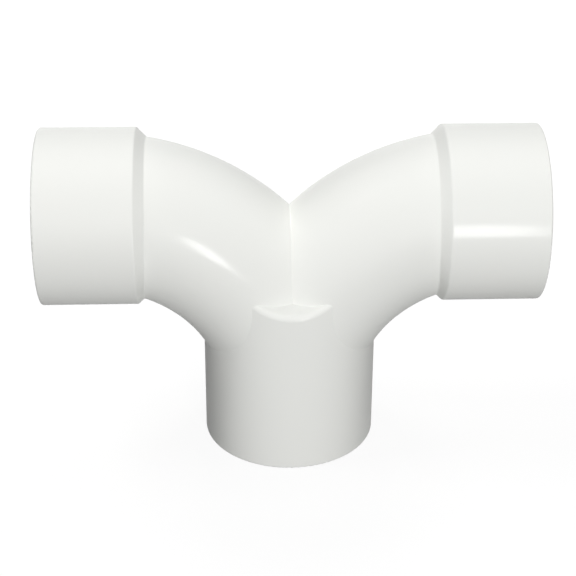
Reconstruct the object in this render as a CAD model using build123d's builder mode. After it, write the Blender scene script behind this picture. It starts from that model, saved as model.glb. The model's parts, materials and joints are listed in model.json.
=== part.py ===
"""Double sweep fitting for nominal 2 in plastic pipe, moulded in one piece.

Two level sockets point left and right on the run. From the stop at the bottom of
each one a curved arm sweeps down, and both arms run into the upright leg, whose
socket faces the floor. The leg's barrel is wider than the arms, so its top shows
between them as a ledge, which dips in the middle.

Frame: millimetres, +Z up, origin at the centre of the leg's mouth. The run lies
along X, and the fitting is the same on both sides of the XZ and the YZ plane.
"""

from build123d import *
from math import acos, asin, cos, degrees, radians, sin, tan
import os

# The pipe that the sockets take
pipe_diameter = 60.3        # outside diameter of nominal 2 in pipe
pipe_wall = 3.9             # the waterway is as wide as this pipe's own bore

# Sockets
socket_clearance = 0.05     # room around the pipe, measured on the radius
socket_depth = 38.1         # from the mouth to the pipe stop
socket_wall = 4.75
lead_in_depth = 1.2         # cone at the mouth that guides the pipe
lead_in_angle = 25.0        # of that cone, measured from the socket's axis

# Run, leg and sweep
run_reach = 98.2            # from the leg's axis to each run mouth
leg_reach = 98.2            # from the run's axis to the leg's mouth
arm_wall = 5.0
entry_angle = 12.25         # slope of the sweep where it leaves the run's stop
ledge_drop = 28.0           # from the run's axis down to the front of the leg's ledge
ledge_arc = 40.0            # radius of the ledge's dip between the arms
ledge_slope = 22.0          # up from the ledge's front edge to the arms

# Edges and corners
shoulder_angle = 45.0
rim_round = 0.8             # outer edge of each mouth
shoulder_round = 1.2        # where each hub turns in to its shoulder
foot_round = 0.8            # where the shoulders end on the arms
ledge_round = 2.5
crotch_round = 0.25         # in the valley where the arms meet
splitter_round = 1.0        # on the wall that parts the two arms inside

# Sizes that follow
socket_radius = pipe_diameter / 2 + socket_clearance
mouth_radius = socket_radius + lead_in_depth * tan(radians(lead_in_angle))
hub_radius = socket_radius + socket_wall
waterway_radius = pipe_diameter / 2 - pipe_wall
arm_radius = waterway_radius + arm_wall
run_stop = run_reach - socket_depth
leg_stop = socket_depth
ledge_height = leg_reach - ledge_drop
dip_centre = ledge_height + ledge_arc
horn_height = leg_reach - ledge_drop * cos(radians(45))

# The shoulder's cone runs on until its foot is buried half a wall deep in the arm
foot_radius = arm_radius - arm_wall / 2
shoulder_length = (hub_radius - foot_radius) / tan(radians(shoulder_angle))

# The sweep's centre line is one arc. It leaves the run's axis at the pipe stop,
# already sloping down by the entry angle, and ends on the leg's axis. Its foot there
# is as far below the run as the pipe stop is to the side, or at the leg's own stop
# if that is higher.
entry = radians(entry_angle)
sweep_foot = max(leg_reach - run_stop, leg_stop)
drop = leg_reach - sweep_foot
sweep_radius = (run_stop**2 + drop**2) / (2 * (drop * cos(entry) - run_stop * sin(entry)))
sweep_x = run_stop + sweep_radius * sin(entry)
sweep_z = leg_reach - sweep_radius * cos(entry)
sweep_axis = Axis((sweep_x, 0, sweep_z), (0, -1, 0))

# A plane for each mouth's profiles: x runs into the fitting along the socket's
# axis, and y is the radius
left_mouth = Plane(origin=(-run_reach, 0, leg_reach), x_dir=(1, 0, 0), z_dir=(0, -1, 0))
right_mouth = Plane(origin=(run_reach, 0, leg_reach), x_dir=(-1, 0, 0), z_dir=(0, 1, 0))
leg_mouth = Plane(origin=(0, 0, 0), x_dir=(0, 0, 1), z_dir=(0, 1, 0))


def swept_tube(tube_radius):
    """Right-hand tube along the sweep, cut off at both ends and in the middle."""
    # Angles from upright at which the tube's outer side passes each end
    outer_side = sweep_radius + tube_radius
    start = asin((sweep_x - run_stop) / outer_side)
    end = acos((sweep_foot - sweep_z) / outer_side)
    centre = (sweep_x - sweep_radius * sin(start), 0, sweep_z + sweep_radius * cos(start))
    section = Plane(origin=centre, x_dir=(0, 1, 0), z_dir=(-cos(start), 0, -sin(start)))

    with BuildPart() as tube:
        with BuildSketch(section):
            Circle(tube_radius)
        revolve(axis=sweep_axis, revolution_arc=degrees(end - start))
        split(bisect_by=Plane.YZ.offset(run_stop), keep=Keep.BOTTOM)
        split(bisect_by=Plane.XY.offset(sweep_foot), keep=Keep.TOP)
        split(bisect_by=Plane.YZ, keep=Keep.TOP)
    return tube.part


def valley(builder):
    """The curved edge in the YZ plane where the two swept tubes meet."""
    in_middle = builder.edges().filter_by_position(Axis.X, -0.01, 0.01)
    return in_middle.sort_by(SortBy.LENGTH)[-1]


# Water space, as the mould's cores make it: the two swept bores, parted by a
# rounded splitter, and the three sockets
with BuildPart() as water_space:
    add(swept_tube(waterway_radius))
    mirror(about=Plane.YZ)
    fillet(valley(water_space), splitter_round)

    # Sockets: a short cone at the mouth, then a straight seat for the pipe
    for mouth in (left_mouth, right_mouth, leg_mouth):
        with BuildSketch(mouth):
            with BuildLine():
                Polyline(
                    (0, 0),
                    (0, mouth_radius),
                    (lead_in_depth, socket_radius),
                    (socket_depth, socket_radius),
                    (socket_depth, 0),
                    close=True,
                )
            make_face()
        revolve(axis=Axis(mouth.origin, mouth.x_dir))

# The fitting: built solid, rounded, and then emptied by the water space
with BuildPart() as fitting_body:
    # Right arm
    add(swept_tube(arm_radius))

    # Right hub: a cylinder round the socket, and the shoulder's cone behind it
    with BuildSketch(right_mouth) as hub_profile:
        with BuildLine():
            Polyline(
                (0, 0),
                (0, hub_radius),
                (socket_depth, hub_radius),
                (socket_depth + shoulder_length, foot_radius),
                (socket_depth + shoulder_length, 0),
                close=True,
            )
        make_face()
        rim_corner = hub_profile.vertices().group_by(Axis.X)[0].sort_by(Axis.Y)[-1]
        fillet(rim_corner, rim_round)
        shoulder_corner = hub_profile.vertices().group_by(Axis.Y)[-1].sort_by(Axis.X)[-1]
        fillet(shoulder_corner, shoulder_round)
    revolve(axis=Axis(right_mouth.origin, right_mouth.x_dir))
    shoulder_foot = (
        fitting_body.edges()
        .filter_by(GeomType.BSPLINE)
        .filter_by_position(Axis.X, run_stop - shoulder_length, run_stop)
    )
    fillet(shoulder_foot, foot_round)

    # Left arm and hub
    mirror(about=Plane.YZ)

    # Leg: one straight barrel with a dip turned out of its top, front and back. The
    # dip's floor is the ledge, and the barrel's two horns end inside the arms.
    with BuildPart() as leg_barrel:
        with BuildSketch(leg_mouth) as leg_profile:
            with BuildLine():
                Polyline(
                    (0, 0),
                    (0, hub_radius),
                    (horn_height, hub_radius),
                    (horn_height, 0),
                    close=True,
                )
            make_face()
            rim_corner = leg_profile.vertices().group_by(Axis.X)[0].sort_by(Axis.Y)[-1]
            fillet(rim_corner, rim_round)
        revolve(axis=Axis.Z)
        with BuildSketch(Plane.YZ):
            with BuildLine():
                Polyline(
                    (-hub_radius, dip_centre),
                    (-hub_radius, ledge_height),
                    (0, ledge_height + hub_radius * tan(radians(ledge_slope))),
                    (hub_radius, ledge_height),
                    (hub_radius, dip_centre),
                    close=True,
                )
            make_face()
        revolve(axis=Axis((0, 0, dip_centre), (0, 1, 0)), mode=Mode.SUBTRACT)
        fillet(leg_barrel.edges().filter_by(GeomType.BSPLINE), ledge_round)
    add(leg_barrel.part)

    # Valley between the arms, down to the ledge on both sides
    fillet(valley(fitting_body), crotch_round)

    add(water_space.part, mode=Mode.SUBTRACT)

    # Straight bore, from the leg's mouth up to the foot of the sweep
    with BuildSketch(Plane.XY):
        Circle(waterway_radius)
    extrude(amount=sweep_foot, mode=Mode.SUBTRACT)

fitting_body.part.label = "fitting_body"

os.makedirs("parts", exist_ok=True)
export_step(fitting_body.part, "parts/fitting_body.step")
print(f"sweep radius {sweep_radius:.2f} about x {sweep_x:.2f}, z {sweep_z:.2f}")
print(f"socket bore {2 * socket_radius:.2f}, hub outside {2 * hub_radius:.2f}")
print(f"arm outside {2 * arm_radius:.2f}, waterway {2 * waterway_radius:.2f}")
print(f"volume {fitting_body.part.volume / 1000:.1f} cm3")
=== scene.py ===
# %% [markdown]
# # A moulded plastic pipe fitting
#
# This lesson dresses one real object for its photograph: a double sweep fitting for
# 2 in plastic pipe. Two level sockets feed curved arms, and the arms run down into
# an upright leg. The whole fitting is one injection moulding in glossy white plastic,
# so there is only one piece to look after, and all the care goes into its surface and
# into the light that shows its curves.
#
# The solid model comes first.

# %% Load the model
import bpy
import json
import math
from mathutils import Matrix, Vector


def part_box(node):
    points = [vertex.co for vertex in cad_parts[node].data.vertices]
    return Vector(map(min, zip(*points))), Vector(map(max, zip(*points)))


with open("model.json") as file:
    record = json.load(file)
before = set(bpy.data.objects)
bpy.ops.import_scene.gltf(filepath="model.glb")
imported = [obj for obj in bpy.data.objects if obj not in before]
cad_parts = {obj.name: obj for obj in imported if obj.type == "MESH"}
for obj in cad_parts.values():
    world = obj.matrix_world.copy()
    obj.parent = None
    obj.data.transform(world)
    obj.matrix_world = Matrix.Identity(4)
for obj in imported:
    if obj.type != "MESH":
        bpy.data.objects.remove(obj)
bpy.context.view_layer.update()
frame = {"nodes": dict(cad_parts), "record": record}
mm = 0.001
print("nodes:", sorted(frame["nodes"]))

# %% [markdown]
# ## The main places on the fitting
#
# The camera, the floor and the lamps all refer to a few places on the fitting. They
# can be worked out from the box of the node and from the sockets in the record, so
# nothing has to be typed twice. The run is the level pair of sockets, and its height
# is that of their axis.

# %% Places and sizes
mounts = {mount["name"]: mount for mount in frame["record"]["mounts"]}
run_height = mounts["right_socket"]["pos_m"][2]
low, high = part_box("fitting_body")
middle = Vector((0, 0, (low.z + high.z) / 2))
print("run height", round(run_height / mm, 1), "mm, middle at", round(middle.z / mm, 1), "mm")

# %% [markdown]
# ## The camera
#
# The photograph looks down on the fitting at 29 degrees, from straight in front. A
# camera could be placed by eye, but a fit of the outline gives it exactly: the
# distance, the height of the point it looks at, a yaw of 2 degrees and a slight roll.
# The camera starts on the fitting's own axes and then circles the leg by the yaw, so
# the fitting itself stays where it is.

# %% Camera
view_distance = 650.4 * mm
view_elevation = math.radians(28.775)
view_yaw = math.radians(2.16)
view_roll = math.radians(0.283)
view_target = Vector((-0.62 * mm, 0, run_height - 33.65 * mm))

back = Vector((0, -math.cos(view_elevation), math.sin(view_elevation)))
right = Vector((1, 0, 0))
up = back.cross(right)
rolled_right = right * math.cos(view_roll) + up * math.sin(view_roll)
rolled_up = up * math.cos(view_roll) - right * math.sin(view_roll)
axes = Matrix((rolled_right, rolled_up, back)).transposed().to_4x4()
place = Matrix.Translation(view_target + back * view_distance) @ axes

camera_data = bpy.data.cameras.new("camera")
camera_data.sensor_width = 36.0
camera_data.lens = 100.0
camera_data.clip_start = 10 * mm
camera = bpy.data.objects.new("camera", camera_data)
camera.matrix_world = Matrix.Rotation(-view_yaw, 4, "Z") @ place
bpy.context.scene.collection.objects.link(camera)
bpy.context.scene.camera = camera
print("camera at", [round(v, 3) for v in camera.matrix_world.translation])

# %% [markdown]
# ## Shader maths as sums
#
# A procedural finish is mostly arithmetic on masks and noise. Placed by hand, every
# sum is a node and two links. It reads better as a Python expression, so one small
# class wraps an output socket and turns `+`, `-`, `*` and `/` into Math nodes, from
# either side of the sign. Every other node comes from `Graph.node`, which sets the
# node up first and then fills its sockets with values or links.


# %% Graph and Wire
class Graph:
    """The node tree of one material or world, emptied and ready to fill."""

    def __init__(self, owner):
        owner.use_nodes = True
        self.tree = owner.node_tree
        self.tree.nodes.clear()

    def node(self, kind, settings=None, sockets=None, output=0):
        """Adds a node, sets it up, fills its sockets and returns one output."""
        made = self.tree.nodes.new(kind)
        for name, value in (settings or {}).items():
            setattr(made, name, value)
        for name, value in (sockets or {}).items():
            if isinstance(value, Wire):
                self.tree.links.new(value.socket, made.inputs[name])
            else:
                made.inputs[name].default_value = value
        return Wire(self, made.outputs[output]) if made.outputs else made

    def math(self, operation, *values):
        """A Math node on wires and numbers."""
        return self.node("ShaderNodeMath", {"operation": operation}, dict(enumerate(values)))

    def blend(self, factor, first, second):
        """The first colour where the factor is 0, and the second where it is 1."""
        settings = {"data_type": "RGBA"}
        return self.node("ShaderNodeMix", settings, {0: factor, 6: first, 7: second}, output=2)


class Wire:
    """An output socket that takes part in sums as a number would."""

    def __init__(self, graph, socket):
        self.graph = graph
        self.socket = socket

    def __add__(self, other):
        return self.graph.math("ADD", self, other)

    def __radd__(self, other):
        return self.graph.math("ADD", other, self)

    def __sub__(self, other):
        return self.graph.math("SUBTRACT", self, other)

    def __rsub__(self, other):
        return self.graph.math("SUBTRACT", other, self)

    def __mul__(self, other):
        return self.graph.math("MULTIPLY", self, other)

    def __rmul__(self, other):
        return self.graph.math("MULTIPLY", other, self)

    def __truediv__(self, other):
        return self.graph.math("DIVIDE", self, other)

    def __rtruediv__(self, other):
        return self.graph.math("DIVIDE", other, self)


# %% [markdown]
# ## The plastic
#
# Moulded white PVC isn't a flat white. The pigment leans a little to green, the skin
# has a soft gloss that varies where the melt flowed and cooled, and the mould's polish
# leaves slow waves and a very fine grain. None of it is strong: a layer that can be
# seen by itself is too much.
#
# The pigment scatters light in the depth of the plastic, and the polished skin mirrors
# it on top. One Principled shader does both: its base is matt, and its coat is the
# skin. A weak coat over a matt base keeps the highlights small and clean and the rims
# dark, as in the photograph. A stronger one would fill the rims with the white room.
#
# The layers are worked out on object coordinates, in metres on the fitting, so each
# has a true size and needs no unwrapping.


# %% Plastic finish
def white_plastic():
    """Glossy moulded white PVC."""
    material = bpy.data.materials.new("moulded_white_pvc")
    g = Graph(material)
    spot = g.node("ShaderNodeTexCoord", output="Object")

    def noise(size, detail=2.0):
        """Smooth noise from 0 to 1 whose lumps are about this size, in metres."""
        sockets = {"Vector": spot, "Scale": 1 / size, "Detail": detail}
        return g.node("ShaderNodeTexNoise", {}, sockets)

    flow = noise(45 * mm, detail=3.0)
    waves = noise(16 * mm)
    grain = noise(1.4 * mm)

    cool_white = (0.855, 0.867, 0.838, 1)
    warm_white = (0.870, 0.872, 0.840, 1)
    colour = g.blend(flow, cool_white, warm_white)

    least_gloss = 0.12
    added_gloss = 0.12
    gloss = least_gloss + added_gloss * flow + added_gloss * waves

    wave_height = 0.020 * mm
    grain_height = 0.0012 * mm
    height = waves * wave_height + grain * grain_height
    bump = g.node("ShaderNodeBump", {}, {"Height": height, "Distance": 1.0})

    skin = g.node(
        "ShaderNodeBsdfPrincipled",
        {},
        {
            "Base Color": colour,
            "Roughness": 0.5,
            "Normal": bump,
            "Specular IOR Level": 0.0,
            "Coat Weight": gloss,
            "Coat Roughness": 0.15,
            "Coat IOR": 1.53,
        },
    )
    g.node("ShaderNodeOutputMaterial", {}, {"Surface": skin})
    return material


# %% [markdown]
# ## The fitting
#
# The solid model already has the true form, down to the rounded rims and the valley
# between the arms, so it stays and only gets its finish. Its mesh is split along the
# real edges of the faces, which keeps them crisp.

# %% Dress the fitting
fitting = frame["nodes"]["fitting_body"]
fitting.data.materials.clear()
fitting.data.materials.append(white_plastic())
for slot in fitting.material_slots:
    print("slot", slot.name)
print("triangles", len(fitting.data.polygons))

# %% [markdown]
# ## Floor and surroundings
#
# The photograph's background is plain white. More lamp light would also wash out the
# fitting, so the white comes from Light Path instead: rays from the camera, and those
# mirrored or passed on by a shiny surface, see it. The light that falls on the fitting
# doesn't: it comes from the lamps alone.
#
# The floor is a real grey surface under that white, so it keeps the fitting's shadow.
# Lamp light adds to its glow near the fitting and fades further out. So the glow is
# held back near the fitting by the share that the lamps add there, and it grows to
# full white with the distance. Their sum stays near white all over.


# %% White that only shows
def seen_directly(g):
    """1 for rays from the camera, a mirrored surface or glass, and 0 for the others."""
    rays = {
        name: g.node("ShaderNodeLightPath", output=name)
        for name in ("Is Camera Ray", "Is Glossy Ray", "Is Transmission Ray")
    }
    either = g.math("MAXIMUM", rays["Is Camera Ray"], rays["Is Glossy Ray"])
    return g.math("MAXIMUM", either, rays["Is Transmission Ray"])


# %% World
world = bpy.data.worlds.new("surroundings")
bpy.context.scene.world = world
g = Graph(world)
sky = g.node("ShaderNodeBackground", {}, {"Color": (1, 1, 1, 1), "Strength": seen_directly(g)})
g.node("ShaderNodeOutputWorld", {}, {"Surface": sky})
print("world nodes", len(world.node_tree.nodes))

# %% Floor
floor_half = 6.0
floor_mesh = bpy.data.meshes.new("floor")
corners = [(x * floor_half, y * floor_half, low.z) for x, y in ((-1, -1), (1, -1), (1, 1), (-1, 1))]
floor_mesh.from_pydata(corners, [], [(0, 1, 2, 3)])
floor = bpy.data.objects.new("floor", floor_mesh)
bpy.context.scene.collection.objects.link(floor)
print("floor", 2 * floor_half, "m square at height", low.z)

# %% Floor paper
floor_grey = (0.12, 0.12, 0.12, 1)
lamp_share = 0.11
lit_radius = 0.45

paper = bpy.data.materials.new("floor_paper")
g = Graph(paper)
spot = g.node("ShaderNodeTexCoord", output="Object")
distance = g.node("ShaderNodeVectorMath", {"operation": "LENGTH"}, {0: spot}, output=1)
away = g.math("MINIMUM", distance / lit_radius, 1)
glow_strength = 1 - lamp_share * (1 - away * away)
body = g.node("ShaderNodeBsdfDiffuse", {}, {"Color": floor_grey})
glow = g.node("ShaderNodeEmission", {}, {"Strength": seen_directly(g) * glow_strength})
both = g.node("ShaderNodeAddShader", {}, {0: body, 1: glow})
g.node("ShaderNodeOutputMaterial", {}, {"Surface": both})
floor_mesh.materials.append(paper)
print("floor paper nodes", len(paper.node_tree.nodes))

# %% [markdown]
# ## Lamps
#
# The photograph's shading tells where its light came from. Most of it came from the
# front, a little above the run, and softer light reached the sides and the top. Six
# softboxes do that, and the ones behind also light the back for other views.
#
# The long spark on the left arm and the band on the right hub are mirror images of one
# narrow, upright lamp. They agree on a place in front, a little to the right and level
# with the middle of the fitting. That catch light only makes highlights, and the
# softboxes only light the plastic, so either can be set without spoiling the other.


# %% Lamps
def lamp(name, direction, distance, size, power):
    """An area lamp aimed at the middle of the fitting. Azimuth 0 is straight in front."""
    data = bpy.data.lights.new(name, "AREA")
    data.shape = "RECTANGLE"
    data.size, data.size_y = size
    data.energy = power
    azimuth, elevation = (math.radians(angle) for angle in direction)
    level = math.cos(elevation)
    outward = Vector((math.sin(azimuth) * level, -math.cos(azimuth) * level, math.sin(elevation)))
    made = bpy.data.objects.new(name, data)
    made.location = middle + outward * distance
    made.rotation_mode = "QUATERNION"
    made.rotation_quaternion = outward.to_track_quat("Z", "Y")
    made.visible_camera = False
    bpy.context.scene.collection.objects.link(made)
    print(name, "at", [round(v, 2) for v in made.location], "m,", power, "W")
    return made


# %% Softboxes
far = 1.6
softboxes = (
    lamp("front_softbox", direction=(6, 16), distance=far, size=(0.8, 0.8), power=21.4),
    lamp("left_softbox", direction=(-90, 57), distance=far, size=(0.6, 0.6), power=9.3),
    lamp("right_softbox", direction=(90, 48), distance=far, size=(0.6, 0.6), power=3.0),
    lamp("back_left_softbox", direction=(-135, 45), distance=far, size=(0.6, 0.6), power=6.2),
    lamp("back_right_softbox", direction=(135, 45), distance=far, size=(0.6, 0.6), power=6.2),
    lamp("back_softbox", direction=(180, 10), distance=far, size=(0.6, 0.4), power=7.5),
)
for softbox in softboxes:
    softbox.visible_glossy = False

# %% Catch light
catch = lamp("catch_light", direction=(12.6, 1), distance=0.89, size=(0.11, 0.32), power=2.2)
catch.data.shape = "ELLIPSE"
catch.visible_diffuse = False

# %% [markdown]
# ## Colour
#
# The Standard view shows a colour about as it is written.

# %% Finish
bpy.context.scene.view_settings.view_transform = "Standard"
